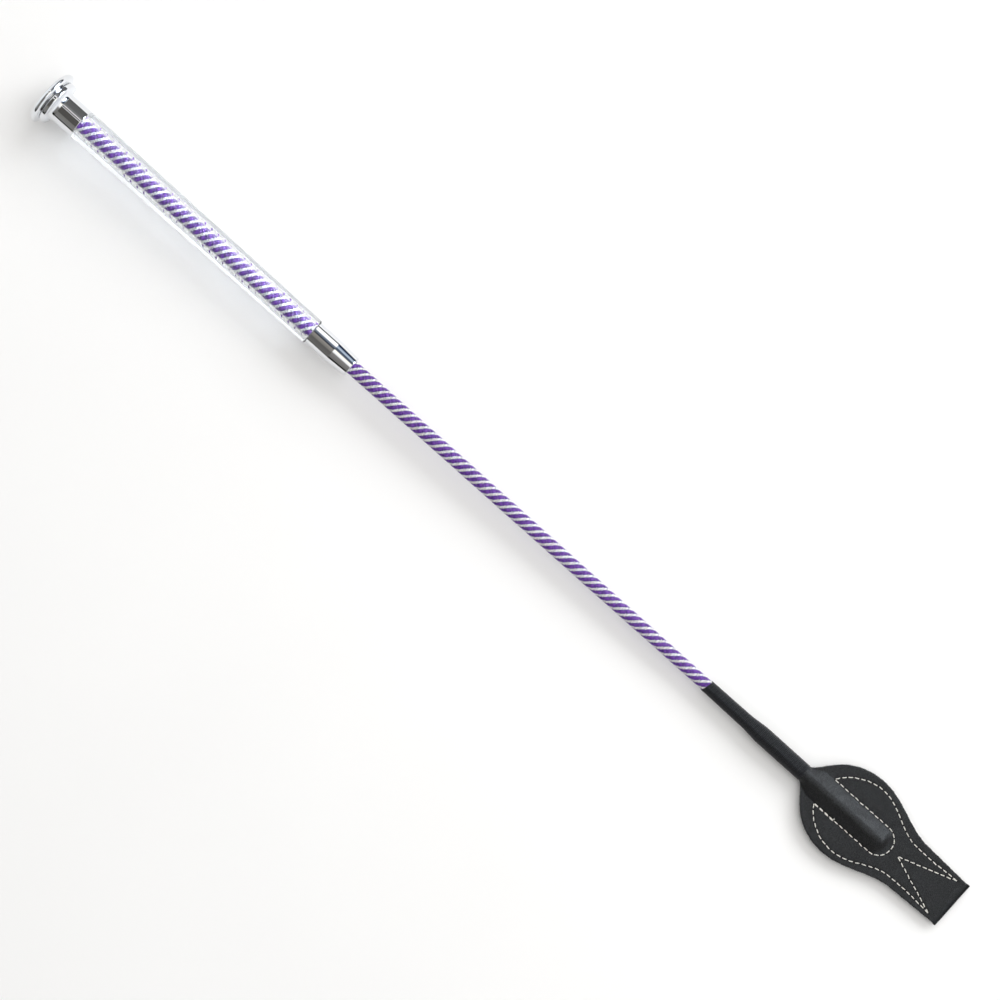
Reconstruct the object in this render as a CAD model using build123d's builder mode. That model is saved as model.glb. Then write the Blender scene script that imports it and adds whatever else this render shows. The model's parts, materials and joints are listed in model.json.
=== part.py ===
"""Riding crop, 650 mm long: a tapered rod in a braided cover, with a chrome mushroom cap, a clear
grip sleeve, a chrome ferrule, a thread whipping and a folded leather keeper at the tip.

The shaft lies along X, from the cap at -X to the keeper at +X. The keeper lies flat in the XY plane.
The origin is the middle of the crop's length, on the shaft's axis. All sizes are in millimetres.
"""
from build123d import *
import os

# ---- lengths along the crop, measured from the top of the cap's dome ----
crop_length = 650.0
cap_end = 24.8
sleeve_end = 190.8
ferrule_end = 218.7
whipping_start = 472.4
whipping_end = 544.0
braid_start = 6.2
braid_end = 590.0

# ---- shaft ----
braid_radius_grip = 4.10
braid_radius_ferrule = 4.03
braid_radius_whipping = 3.50
braid_wall = 1.35

# ---- cap ----
dome_rise = 1.0
dome_edge_radius = 13.7
flange_radius = 16.1
flange_station = 3.4
rim_radius = flange_radius - dome_edge_radius
ring_radius = 13.1
collar_radius = 8.8
cap_bore_radius = 6.3

# ---- grip sleeve ----
sleeve_radius_cap = 8.85
sleeve_radius_ferrule = 7.55
sleeve_bore_radius = 4.30
sleeve_edge_round = 1.2

# ---- ferrule ----
ferrule_radius = 6.8
ferrule_straight = 15.0
ferrule_nose_radius = 5.95
ferrule_bore_radius = 5.2
ferrule_lip = 1.2

# ---- whipping over the keeper's tongues ----
thread_build = 0.38
tongue_length = 31.0
tongue_edge_height = 0.6

# ---- leather keeper, measured from the end of the whipping ----
leather = 1.3
keeper_length = crop_length - whipping_end
neck_half_width = 5.3
fold_half_width = 13.7
flex_at = 63.8
flex_gap = 0.3
fold_slit = 0.1

# ---- stitching ----
stitch_pitch = 3.6
stitch_length = 2.3
stitch_width = 0.8
stitch_height = 0.4
pocket_seam = 8.4
pocket_seam_end = 52.8
stitch_clear_of_flex = 1.7

# Parts of one body that meet are held this far apart, so that their faces never overlap.
touch = 0.02

os.makedirs("parts", exist_ok=True)


def along(station):
    """X of a place given by its distance from the top of the cap."""
    return station - crop_length / 2


def on_keeper(distance, side=0.0):
    """Point in plan on the keeper, from its distance beyond the whipping."""
    return (along(whipping_end + distance), side)


def braid_radius(station):
    """Outside radius of the braid, which tapers evenly from the ferrule to the tip."""
    if station <= sleeve_end:
        return braid_radius_grip
    slope = (braid_radius_whipping - braid_radius_ferrule) / (whipping_start - ferrule_end)
    return braid_radius_ferrule + slope * (station - ferrule_end)


def profile_points(*stations_and_radii):
    """Turn (station, radius) pairs into points of a half profile above the X axis."""
    return [(along(station), radius) for station, radius in stations_and_radii]


def save(piece, name):
    piece.part.label = name
    export_step(piece.part, f"parts/{name}.step")


# ---- core rod: a tapered fibreglass rod that runs from the cap into the keeper ----
rod_end = braid_end + 5.0
with BuildPart() as core_rod:
    with BuildSketch(Plane.XZ):
        with BuildLine():
            Polyline(
                *profile_points(
                    (braid_start, 0),
                    (braid_start, braid_radius_grip - braid_wall - touch),
                    (sleeve_end, braid_radius_grip - braid_wall - touch),
                    (ferrule_end, braid_radius(ferrule_end) - braid_wall - touch),
                    (rod_end, braid_radius(rod_end) - braid_wall - touch),
                    (rod_end, 0),
                ),
                close=True,
            )
        make_face()
    revolve(axis=Axis.X)
save(core_rod, "core_rod")

# ---- braid: the woven cover, a thin tapered tube over the rod ----
with BuildPart() as braid_cover:
    with BuildSketch(Plane.XZ):
        with BuildLine():
            Polyline(
                *profile_points(
                    (braid_start, braid_radius_grip - braid_wall),
                    (sleeve_end, braid_radius_grip - braid_wall),
                    (ferrule_end, braid_radius(ferrule_end) - braid_wall),
                    (braid_end, braid_radius(braid_end) - braid_wall),
                    (braid_end, braid_radius(braid_end)),
                    (ferrule_end, braid_radius(ferrule_end)),
                    (sleeve_end, braid_radius_grip),
                    (braid_start, braid_radius_grip),
                ),
                close=True,
            )
        make_face()
    revolve(axis=Axis.X)
save(braid_cover, "braid_cover")

# ---- rod tip cap: a rounded thimble over the rod's cut end, inside the keeper's pocket ----
tip_radius = braid_radius(braid_end)
tip_dome_centre = rod_end + 0.3
with BuildPart() as rod_tip_cap:
    with BuildSketch(Plane.XZ):
        with BuildLine():
            Polyline(
                *profile_points(
                    (tip_dome_centre + tip_radius, 0),
                    (rod_end + touch, 0),
                    (rod_end + touch, tip_radius - braid_wall + touch),
                    (braid_end + touch, tip_radius - braid_wall + touch),
                    (braid_end + touch, tip_radius),
                    (tip_dome_centre, tip_radius),
                )
            )
            CenterArc((along(tip_dome_centre), 0), tip_radius, 0, 90)
        make_face()
    revolve(axis=Axis.X)
save(rod_tip_cap, "rod_tip_cap")

# ---- end cap: the mushroom-shaped casting, with a collar bored for the bush ----
with BuildPart() as end_cap:
    with BuildSketch(Plane.XZ):
        with BuildLine():
            dome = ThreePointArc(
                (along(0), 0),
                (along(dome_rise / 4), dome_edge_radius / 2),
                (along(dome_rise), dome_edge_radius),
            )
            rim = CenterArc((along(flange_station), dome_edge_radius), rim_radius, 180, -90)
            rim_back = ThreePointArc(
                rim @ 1,
                (along(4.15), 15.85),
                (along(4.65), 15.2),
            )
            back = Polyline(
                rim_back @ 1,
                (along(5.35), 12.75),
                (along(5.6), 12.75),
                (along(5.6), ring_radius),
                (along(8.4), ring_radius),
            )
            shoulder = ThreePointArc(back @ 1, (along(9.1), 10.2), (along(11.0), collar_radius))
            collar = Line(shoulder @ 1, (along(cap_end - 0.4), collar_radius))
            edge = RadiusArc(collar @ 1, (along(cap_end), collar_radius - 0.4), 0.4)
            Polyline(
                edge @ 1,
                (along(cap_end), cap_bore_radius),
                (along(braid_start - touch), cap_bore_radius),
                (along(braid_start - touch), 0),
                dome @ 0,
            )
        make_face()
    revolve(axis=Axis.X)
save(end_cap, "end_cap")

# ---- cap bush: the moulded plug that grips the shaft inside the cap's collar ----
with BuildPart() as cap_bush:
    bush_length = cap_end - braid_start - 0.2
    with BuildSketch(Plane.YZ.offset(along(braid_start + 0.1))):
        Circle(cap_bore_radius - touch)
        Circle(braid_radius_grip + touch, mode=Mode.SUBTRACT)
    extrude(amount=bush_length)
    chamfer(cap_bush.edges().filter_by(GeomType.CIRCLE).group_by(SortBy.RADIUS)[-1], 0.3)
save(cap_bush, "cap_bush")

# ---- grip sleeve: the clear tube that forms the handle ----
with BuildPart() as grip_sleeve:
    with BuildSketch(Plane.XZ):
        with BuildLine():
            Polyline(
                *profile_points(
                    (cap_end + touch, sleeve_bore_radius),
                    (sleeve_end - touch, sleeve_bore_radius),
                    (sleeve_end - touch, sleeve_radius_ferrule),
                    (cap_end + touch, sleeve_radius_cap),
                ),
                close=True,
            )
        make_face()
    revolve(axis=Axis.X)
    ferrule_side_edge = grip_sleeve.edges().filter_by(GeomType.CIRCLE).group_by(Axis.X)[-1]
    fillet(ferrule_side_edge.sort_by(SortBy.RADIUS)[-1], sleeve_edge_round)
save(grip_sleeve, "grip_sleeve")

# ---- ferrule: the plated shell at the front of the grip ----
with BuildPart() as ferrule:
    with BuildSketch(Plane.XZ):
        with BuildLine():
            Polyline(
                *profile_points(
                    (sleeve_end, ferrule_bore_radius),
                    (sleeve_end, ferrule_radius),
                    (sleeve_end + ferrule_straight, ferrule_radius),
                    (ferrule_end, ferrule_nose_radius),
                    (ferrule_end, braid_radius_grip + touch),
                    (ferrule_end - ferrule_lip, braid_radius_grip + touch),
                    (ferrule_end - ferrule_lip, ferrule_bore_radius),
                ),
                close=True,
            )
        make_face()
    revolve(axis=Axis.X)
    outer_edges = ferrule.edges().filter_by(GeomType.CIRCLE)
    fillet(outer_edges.group_by(Axis.X)[-1].sort_by(SortBy.RADIUS)[-1], 0.5)
    fillet(ferrule.edges().filter_by(GeomType.CIRCLE).group_by(Axis.X)[0].sort_by(SortBy.RADIUS)[-1], 0.5)
save(ferrule, "ferrule")

# ---- ferrule bush: fills the space between the braid and the shell ----
with BuildPart() as ferrule_bush:
    with BuildSketch(Plane.YZ.offset(along(sleeve_end + 0.4))):
        Circle(ferrule_bore_radius - touch)
        Circle(braid_radius_grip + touch, mode=Mode.SUBTRACT)
    extrude(amount=ferrule_end - ferrule_lip - sleeve_end - 0.5)
save(ferrule_bush, "ferrule_bush")

# ---- whipping: thread wound over the shaft, then over the keeper's two tongues ----
tongue_start = whipping_end - tongue_length
ramp = 10.0
with BuildPart() as whipping:
    with BuildSketch(Plane.XZ):
        with BuildLine():
            Polyline(
                *profile_points(
                    (whipping_start, braid_radius(whipping_start) + touch),
                    (tongue_start - touch, braid_radius(tongue_start) + touch),
                    (tongue_start - touch, braid_radius(tongue_start) + leather + touch),
                    (whipping_end - touch, braid_radius(whipping_end) + leather + touch),
                    (whipping_end - touch, braid_radius(whipping_end) + leather + thread_build),
                    (tongue_start, braid_radius(tongue_start) + leather + thread_build),
                    (tongue_start - ramp, braid_radius(tongue_start) + 2 * thread_build),
                    (whipping_start, braid_radius(whipping_start) + thread_build),
                ),
                close=True,
            )
        make_face()
    revolve(axis=Axis.X)
save(whipping, "whipping")


def keeper_outline():
    """Half plan of the keeper, from its neck under the whipping to its fold. Call inside BuildLine."""
    neck = Bezier(
        on_keeper(touch, neck_half_width),
        on_keeper(2.4, 5.4),
        on_keeper(4.0, 8.2),
        on_keeper(8.8, 13.8),
    )
    shoulder = Bezier(
        neck @ 1,
        on_keeper(15.2, 21.3),
        on_keeper(24.5, 25.2),
        on_keeper(34.6, 25.2),
    )
    waist = Bezier(
        shoulder @ 1,
        on_keeper(48.5, 25.2),
        on_keeper(59.5, 16.7),
        on_keeper(73.0, 15.1),
    )
    Polyline(
        waist @ 1,
        on_keeper(keeper_length, fold_half_width),
        on_keeper(keeper_length),
        on_keeper(touch),
        neck @ 0,
    )


def shaft_end_profile(thickness):
    """Half profile, in XZ, of the shaft's end from under the whipping to its rounded tip inside the
    keeper, with a layer of that thickness on it."""
    start_radius = braid_radius(tongue_start) + thickness
    end_radius = braid_radius(tip_dome_centre) + thickness
    with BuildSketch(Plane.XZ) as profile:
        with BuildLine():
            Polyline(
                (along(tip_dome_centre) + end_radius, 0),
                (along(tongue_start), 0),
                (along(tongue_start), start_radius),
                (along(tip_dome_centre), end_radius),
            )
            CenterArc((along(tip_dome_centre), 0), end_radius, 0, 90)
        make_face()
    return profile.sketch


# ---- keeper's front layer: the round half, raised over the shaft's end, and the tongue that the
# whipping ties down over the shaft ----
with BuildPart() as keeper_front_leaf:
    with BuildSketch():
        with BuildLine():
            keeper_outline()
        make_face()
        mirror(about=Plane.XZ)
    extrude(amount=leather)
    with BuildSketch(Plane.XZ):
        with Locations(on_keeper(flex_at / 2)):
            Rectangle(flex_at, 4 * leather)
        with Locations(on_keeper(flex_at)):
            Circle(leather)
    extrude(amount=30, both=True, mode=Mode.INTERSECT)
    add(shaft_end_profile(leather))
    revolve(axis=Axis.X)
    add(shaft_end_profile(touch))
    revolve(axis=Axis.X, mode=Mode.SUBTRACT)
    split(bisect_by=Plane.XY.offset(touch / 2), keep=Keep.TOP)
    with BuildSketch(Plane.XY):
        with Locations((along((tongue_start + whipping_end) / 2), 0)):
            Rectangle(tongue_length, 4 * neck_half_width)
    extrude(amount=tongue_edge_height, mode=Mode.SUBTRACT)
save(keeper_front_leaf, "keeper_front_leaf")

# ---- keeper's back layer: the other half of the blank, the front layer's mirror image ----
with BuildPart() as keeper_back_leaf:
    mirror(keeper_front_leaf.part, about=Plane.XY)
save(keeper_back_leaf, "keeper_back_leaf")

# ---- keeper's tail: where the blank folds back on itself, beyond the line where the keeper flexes ----
with BuildPart() as keeper_tail:
    with BuildSketch():
        with BuildLine():
            keeper_outline()
        make_face()
        mirror(about=Plane.XZ)
    extrude(amount=leather, both=True)
    tail_length = keeper_length - flex_at
    with BuildSketch(Plane.XZ):
        with Locations(on_keeper(flex_at + tail_length / 2)):
            Rectangle(tail_length, 4 * leather)
        with Locations(on_keeper(flex_at)):
            Circle(leather + flex_gap, mode=Mode.SUBTRACT)
    extrude(amount=30, both=True, mode=Mode.INTERSECT)
    fillet(keeper_tail.faces().sort_by(Axis.X)[-1].edges().filter_by(Axis.Y), 0.9 * leather)
    with Locations(on_keeper(flex_at + (tail_length - leather) / 2)):
        Box(tail_length - leather, 4 * fold_half_width, fold_slit, mode=Mode.SUBTRACT)
save(keeper_tail, "keeper_tail")

# ---- stitching: one seam round the keeper and its pocket, a needle thread and a bobbin thread ----
with BuildLine() as left_seam:
    Bezier(
        on_keeper(14.0, pocket_seam),
        on_keeper(17.5, 14.6),
        on_keeper(26.5, 21.3),
        on_keeper(37.2, 21.3),
    )
    Bezier(
        on_keeper(37.2, 21.3),
        on_keeper(49.5, 21.3),
        on_keeper(55.5, 13.2),
        on_keeper(68.0, 11.0),
    )
    Bezier(
        on_keeper(68.0, 11.0),
        on_keeper(78.0, 10.1),
        on_keeper(88.0, 10.9),
        on_keeper(99.3, 11.6),
    )
    Line(on_keeper(99.3, 11.6), on_keeper(66.5))
    Line(on_keeper(14.0, pocket_seam), on_keeper(pocket_seam_end, pocket_seam))
    CenterArc(on_keeper(pocket_seam_end), pocket_seam, 0, 90)


def stitch_places(on_tail):
    """Where the stitches of one part of the keeper lie, as plan locations on both sides of its middle.
    Those that would lie across the flex line are left out."""
    places = []
    for seam in left_seam.edges():
        count = round(seam.length / stitch_pitch)
        for number in range(count):
            middle = seam @ ((number + 0.5) / count)
            direction = seam % ((number + 0.5) / count)
            beyond_flex = middle.X - along(whipping_end + flex_at)
            if on_tail and beyond_flex < stitch_clear_of_flex:
                continue
            if not on_tail and beyond_flex > -stitch_clear_of_flex:
                continue
            angle = Vector(1, 0, 0).get_signed_angle(direction, Vector(0, 0, 1))
            places.append(Location((middle.X, middle.Y, 0), (0, 0, angle)))
            places.append(Location((middle.X, -middle.Y, 0), (0, 0, -angle)))
    return places


for part_name, on_tail in (("round", False), ("tail", True)):
    with BuildPart() as needle_stitches:
        with BuildSketch(Plane.XY.offset(leather)):
            with Locations(*stitch_places(on_tail)):
                SlotOverall(stitch_length, stitch_width)
        extrude(amount=stitch_height)
    save(needle_stitches, f"needle_stitches_{part_name}")
    with BuildPart() as bobbin_stitches:
        mirror(needle_stitches.part, about=Plane.XY)
    save(bobbin_stitches, f"bobbin_stitches_{part_name}")
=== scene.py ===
"""Looks of a riding crop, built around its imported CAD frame.

The shaft lies along X, from the chrome cap at -X to the leather keeper at +X. The keeper lies flat in
the XY plane and shows its front towards +Z. Lengths are in metres; MM turns millimetres into metres.
"""
import bpy
import json
import math
import numpy as np
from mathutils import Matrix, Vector
from mathutils.bvhtree import BVHTree


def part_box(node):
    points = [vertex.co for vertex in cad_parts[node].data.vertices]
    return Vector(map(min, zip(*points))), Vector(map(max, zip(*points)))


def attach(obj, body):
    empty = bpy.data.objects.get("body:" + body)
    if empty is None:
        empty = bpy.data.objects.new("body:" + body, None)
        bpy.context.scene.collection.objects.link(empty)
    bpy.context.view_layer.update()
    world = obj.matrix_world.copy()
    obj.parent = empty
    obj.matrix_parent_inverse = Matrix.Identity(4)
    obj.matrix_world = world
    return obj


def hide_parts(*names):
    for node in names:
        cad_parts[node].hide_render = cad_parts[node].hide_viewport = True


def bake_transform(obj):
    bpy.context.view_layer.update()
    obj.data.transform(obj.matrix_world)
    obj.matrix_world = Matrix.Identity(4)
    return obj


MM = 0.001
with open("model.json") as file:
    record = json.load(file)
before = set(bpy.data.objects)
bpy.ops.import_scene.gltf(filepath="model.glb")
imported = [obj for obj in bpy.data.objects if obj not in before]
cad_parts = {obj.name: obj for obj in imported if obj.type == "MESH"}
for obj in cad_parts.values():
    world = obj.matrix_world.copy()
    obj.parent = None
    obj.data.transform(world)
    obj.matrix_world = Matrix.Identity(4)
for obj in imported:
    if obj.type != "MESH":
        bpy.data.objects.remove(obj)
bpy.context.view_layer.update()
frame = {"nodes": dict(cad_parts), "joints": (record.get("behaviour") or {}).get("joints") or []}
rng = np.random.default_rng(7)


# ---------------------------------------------------------------- places read from the frame

def outside_profile(name, count=240):
    """Outside radius of a turned CAD node at places along X, found with rays aimed at the axis."""
    mesh = frame["nodes"][name].data
    tree = BVHTree.FromPolygons([v.co for v in mesh.vertices], [p.vertices[:] for p in mesh.polygons])
    low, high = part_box(name)
    places = np.linspace(low.x + 0.05 * MM, high.x - 0.05 * MM, count)
    hits = [tree.ray_cast(Vector((x, 1e-5, 0.1)), Vector((0, 0, -1)))[0] for x in places]
    return places, np.array([hit.z for hit in hits])


braid_x, braid_r = outside_profile("braid_cover")
whip_x, whip_r = outside_profile("whipping")


def braid_radius(x):
    return np.interp(x, braid_x, braid_r)


cap_low, cap_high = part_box("end_cap")
sleeve_low, sleeve_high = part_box("grip_sleeve")
ferrule_low, ferrule_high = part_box("ferrule")
whip_low, whip_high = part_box("whipping")
leaf_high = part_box("keeper_front_leaf")[1]
tail_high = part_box("keeper_tail")[1]
keeper_start = whip_high.x
keeper_length = tail_high.x - keeper_start
flex_x = frame["joints"][0]["pos_m"][0]
leather_half = tail_high.z


# ---------------------------------------------------------------- small geometry helpers

def smoothstep(value, low, high):
    t = np.clip((value - low) / (high - low), 0, 1)
    return t * t * (3 - 2 * t)


def bezier(points, count):
    """Points on a cubic Bezier curve with four control points."""
    t = np.linspace(0, 1, count)[:, None]
    p0, p1, p2, p3 = (np.array(p, float) for p in points)
    return (1 - t) ** 3 * p0 + 3 * (1 - t) ** 2 * t * p1 + 3 * (1 - t) * t**2 * p2 + t**3 * p3


def unit(vectors):
    return vectors / np.maximum(np.linalg.norm(vectors, axis=-1, keepdims=True), 1e-12)


def make_mesh(name, vertices, faces, material, attributes=None, normals=None):
    """A smooth-shaded mesh object. faces is a list of integer arrays, one for each number of corners."""
    vertices = np.asarray(vertices, np.float32).reshape(-1, 3)
    corners = np.concatenate([np.asarray(f).ravel() for f in faces]).astype(np.int32)
    sizes = np.concatenate([np.full(len(f), np.asarray(f).shape[1]) for f in faces]).astype(np.int32)
    starts = np.concatenate([[0], np.cumsum(sizes)[:-1]]).astype(np.int32)
    mesh = bpy.data.meshes.new(name)
    mesh.vertices.add(len(vertices))
    mesh.vertices.foreach_set("co", vertices.ravel())
    mesh.loops.add(len(corners))
    mesh.loops.foreach_set("vertex_index", corners)
    mesh.polygons.add(len(sizes))
    mesh.polygons.foreach_set("loop_start", starts)
    mesh.update(calc_edges=True)
    mesh.validate()
    mesh.shade_smooth()
    for key, values in (attributes or {}).items():
        values = np.asarray(values, np.float32)
        kind = "FLOAT" if values.ndim == 1 else "FLOAT_VECTOR"
        field = mesh.attributes.new(key, kind, "POINT")
        field.data.foreach_set("value" if values.ndim == 1 else "vector", values.ravel())
    if normals is not None:
        mesh.normals_split_custom_set_from_vertices(np.asarray(normals).reshape(-1, 3).tolist())
    obj = bpy.data.objects.new(name, mesh)
    bpy.context.scene.collection.objects.link(obj)
    obj.data.materials.append(material)
    return obj


def grid_faces(rows, columns, first=0):
    """Quads between neighbouring rows of a grid of vertices, whose columns close into a ring."""
    row = np.arange(rows - 1)[:, None] * columns + first
    column = np.arange(columns)[None, :]
    following = (column + 1) % columns
    quads = np.stack([row + column, row + following, row + columns + following, row + columns + column], -1)
    return quads.reshape(-1, 4)


def tubes(paths, sides):
    """Closed tubes. Each path is (centres, side directions, up directions, half widths, half heights).
    Gives vertices, face arrays, and for each vertex its length along the tube and its place round it."""
    angle = 2 * np.pi * np.arange(sides) / sides
    vertices, quads, ends, along, around = [], [], [], [], []
    first = 0
    for centre, side, up, half_width, half_height in paths:
        across = side[:, None] * (half_width[:, None] * np.cos(angle))[..., None]
        outward = up[:, None] * (half_height[:, None] * np.sin(angle))[..., None]
        vertices.append((centre[:, None] + across + outward).reshape(-1, 3))
        rings = len(centre)
        quads.append(grid_faces(rings, sides, first))
        ends.append(first + np.arange(sides)[::-1])
        ends.append(first + (rings - 1) * sides + np.arange(sides))
        length = np.concatenate([[0], np.cumsum(np.linalg.norm(np.diff(centre, axis=0), axis=1))])
        along.append(np.repeat(length, sides))
        place = np.stack([np.cos(angle), np.sin(angle), np.zeros(sides)], -1)
        around.append(np.tile(place, (rings, 1)))
        first += rings * sides
    faces = [np.concatenate(quads), np.array(ends)]
    return np.concatenate(vertices), faces, np.concatenate(along), np.concatenate(around)


def turned(name, stretches, material, segments=160):
    """A turned piece round the X axis. Each stretch of its outline is a smooth run of (x, r) points, and
    the outline has the piece on its right-hand side."""
    angle = 2 * np.pi * np.arange(segments) / segments
    ring = np.stack([np.zeros(segments), np.sin(angle), np.cos(angle)], -1)
    vertices, directions, faces, first = [], [], [], 0
    for stretch in stretches:
        points = np.asarray(stretch, float)
        heading = unit(np.gradient(points, axis=0))
        around_axis = ring[None] * points[:, 1, None, None]
        around_axis[..., 0] += points[:, 0, None]
        outward = ring[None] * heading[:, 0, None, None]
        outward[..., 0] -= heading[:, 1, None]
        vertices.append(around_axis.reshape(-1, 3))
        directions.append(outward.reshape(-1, 3))
        faces.append(grid_faces(len(points), segments, first)[:, ::-1])
        first += len(points) * segments
    vertices = np.concatenate(vertices)
    return make_mesh(name, vertices, [np.concatenate(faces)], material, normals=np.concatenate(directions))


def line(start, end, count=2):
    return np.linspace(start, end, count)


def arc(centre, radius, start_degrees, end_degrees, count):
    """Points on an arc in the (x, r) plane, angles measured from +x towards +r."""
    angle = np.radians(np.linspace(start_degrees, end_degrees, count))
    return np.stack([centre[0] + radius * np.cos(angle), centre[1] + radius * np.sin(angle)], -1)


# ---------------------------------------------------------------- small shader helpers

def node(tree, kind, inputs=None, **settings):
    """One shader node. An input is given a plain value, or another node's output to follow."""
    made = tree.nodes.new("ShaderNode" + kind)
    for key, value in settings.items():
        setattr(made, key, value)
    for key, value in (inputs or {}).items():
        if isinstance(value, bpy.types.NodeSocket):
            tree.links.new(value, made.inputs[key])
        else:
            made.inputs[key].default_value = value
    return made


def calc(tree, operation, *values, clamp=False):
    return node(tree, "Math", dict(enumerate(values)), operation=operation, use_clamp=clamp).outputs[0]


def map_range(tree, value, low, high, to_low=0.0, to_high=1.0):
    inputs = dict(enumerate((value, low, high, to_low, to_high)))
    return node(tree, "MapRange", inputs).outputs[0]


def mix_colour(tree, share, first, second, blend="MIX"):
    inputs = {0: share, 6: first, 7: second}
    return node(tree, "Mix", inputs, data_type="RGBA", blend_type=blend).outputs[2]


def ramp(tree, value, stops, interpolation="LINEAR"):
    """Colour by value, from (place, colour) stops. A plain number stands for a grey."""
    made = node(tree, "ValToRGB", {"Fac": value})
    made.color_ramp.interpolation = interpolation
    elements = made.color_ramp.elements
    while len(elements) < len(stops):
        elements.new(0.5)
    for element, (place, colour) in zip(elements, stops):
        element.position = place
        element.color = (colour,) * 3 + (1,) if isinstance(colour, (int, float)) else (*colour, 1)
    return made.outputs["Color"]


def noise(tree, vector, scale, detail, roughness=0.5):
    inputs = {"Vector": vector, "Scale": scale, "Detail": detail, "Roughness": roughness}
    return node(tree, "TexNoise", inputs).outputs["Fac"]


def bump(tree, height, distance, strength):
    inputs = {"Height": height, "Distance": distance, "Strength": strength}
    return node(tree, "Bump", inputs).outputs["Normal"]


def attribute(tree, name, output="Vector"):
    return node(tree, "Attribute", attribute_name=name).outputs[output]


def object_place(tree):
    return node(tree, "TexCoord").outputs["Object"]


def new_material(name, **values):
    """A material with a Principled shader, with its uniform values set by input name."""
    made = bpy.data.materials.new(name)
    made.use_nodes = True
    shader = made.node_tree.nodes["Principled BSDF"]
    for key, value in values.items():
        shader.inputs[key.replace("_", " ")].default_value = value
    return made, made.node_tree, shader


def ply_height(tree, turns_per_metre):
    """Height of the two twisted plies of a thread, from its along and around attributes."""
    phase = calc(tree, "MULTIPLY", attribute(tree, "along", "Fac"), 2 * math.pi * turns_per_metre)
    around = node(tree, "SeparateXYZ", {0: attribute(tree, "around")})
    first = calc(tree, "MULTIPLY", around.outputs[1], calc(tree, "COSINE", phase))
    second = calc(tree, "MULTIPLY", around.outputs[0], calc(tree, "SINE", phase))
    return calc(tree, "ABSOLUTE", calc(tree, "ADD", first, second))


def fibre_place(tree, stretch):
    """Coordinates that run round a thread and slowly along it, so that noise in them makes long fibres."""
    along = calc(tree, "MULTIPLY", attribute(tree, "along", "Fac"), stretch)
    around = node(tree, "SeparateXYZ", {0: attribute(tree, "around")})
    return node(tree, "CombineXYZ", {0: around.outputs[0], 1: around.outputs[1], 2: along}).outputs[0]


# ---------------------------------------------------------------- materials

def chrome_material():
    """Bright plating with faint polishing marks and a little haze."""
    mat, tree, shader = new_material("chrome", Metallic=1.0, Base_Color=(0.80, 0.81, 0.83, 1))
    place = object_place(tree)
    haze = noise(tree, place, 350.0, 3.0)
    roughness = map_range(tree, haze, 0.35, 0.75, 0.03, 0.075)
    tree.links.new(roughness, shader.inputs["Roughness"])
    marks = node(tree, "Mapping", {"Vector": place, "Scale": (6000.0, 300.0, 300.0)}).outputs[0]
    tree.links.new(bump(tree, noise(tree, marks, 1.0, 2.0), 0.001 * MM, 0.35), shader.inputs["Normal"])
    return mat


def sleeve_material():
    """Clear soft vinyl, rough in its bore where the braid wets it. Shadows pass straight through it."""
    colour = (0.92, 0.937, 0.953, 1)
    mat, tree, shader = new_material("clear_vinyl", Base_Color=colour, IOR=1.52, Transmission_Weight=1.0)
    place = node(tree, "Mapping", {"Vector": object_place(tree), "Scale": (0.25, 1.0, 1.0)}).outputs[0]
    waves = noise(tree, place, 420.0, 3.0)
    across = (0.0, 1.0, 1.0)
    flat = node(tree, "VectorMath", {0: object_place(tree), 1: across}, operation="MULTIPLY").outputs[0]
    from_axis = node(tree, "VectorMath", {0: flat}, operation="LENGTH").outputs["Value"]
    bore = map_range(tree, from_axis, 5.0 * MM, 4.6 * MM)
    speckle = calc(tree, "MULTIPLY", noise(tree, object_place(tree), 2600.0, 2.0), 5.0)
    wetting = calc(tree, "MULTIPLY", bore, speckle)
    tree.links.new(bump(tree, calc(tree, "ADD", waves, wetting), 0.03 * MM, 0.8), shader.inputs["Normal"])
    haze = map_range(tree, noise(tree, place, 900.0, 2.0), 0.0, 1.0, 0.03, 0.10)
    tree.links.new(haze, shader.inputs["Roughness"])
    shadow = node(tree, "LightPath").outputs["Is Shadow Ray"]
    clear = node(tree, "BsdfTransparent", {"Color": (0.93, 0.94, 0.95, 1)})
    both = node(tree, "MixShader", {0: shadow, 1: shader.outputs[0], 2: clear.outputs[0]})
    tree.links.new(both.outputs[0], tree.nodes["Material Output"].inputs["Surface"])
    return mat


def purple_material():
    """Loosely twisted purple yarn of fine filaments."""
    mat, tree, shader = new_material(
        "purple_yarn", Roughness=0.5, Specular_IOR_Level=0.3,
        Sheen_Weight=0.12, Sheen_Roughness=0.4, Sheen_Tint=(0.7, 0.5, 1.0, 1),
    )
    fibres = noise(tree, fibre_place(tree, 90.0), 7.0, 3.0, 0.6)
    patches = noise(tree, object_place(tree), 900.0, 1.0)
    shade = calc(tree, "ADD", calc(tree, "MULTIPLY", fibres, 0.7), calc(tree, "MULTIPLY", patches, 0.3))
    stops = [(0.36, (0.020, 0.005, 0.08)), (0.47, (0.095, 0.025, 0.27)), (0.58, (0.21, 0.07, 0.47)),
             (0.70, (0.40, 0.22, 0.72))]
    # Painted shade: the yarn's colour is darkened where the strand dips below the braid's top, read from its
    # height attribute.
    sunk_painted_shade = ramp(tree, attribute(tree, "height", "Fac"), [(0.35, (0.10, 0.08, 0.16)), (0.95, 1.0)])
    colour = mix_colour(tree, 1.0, ramp(tree, shade, stops), sunk_painted_shade, "MULTIPLY")
    tree.links.new(colour, shader.inputs["Base Color"])
    tree.links.new(bump(tree, fibres, 0.22 * MM, 1.0), shader.inputs["Normal"])
    return mat


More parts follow.
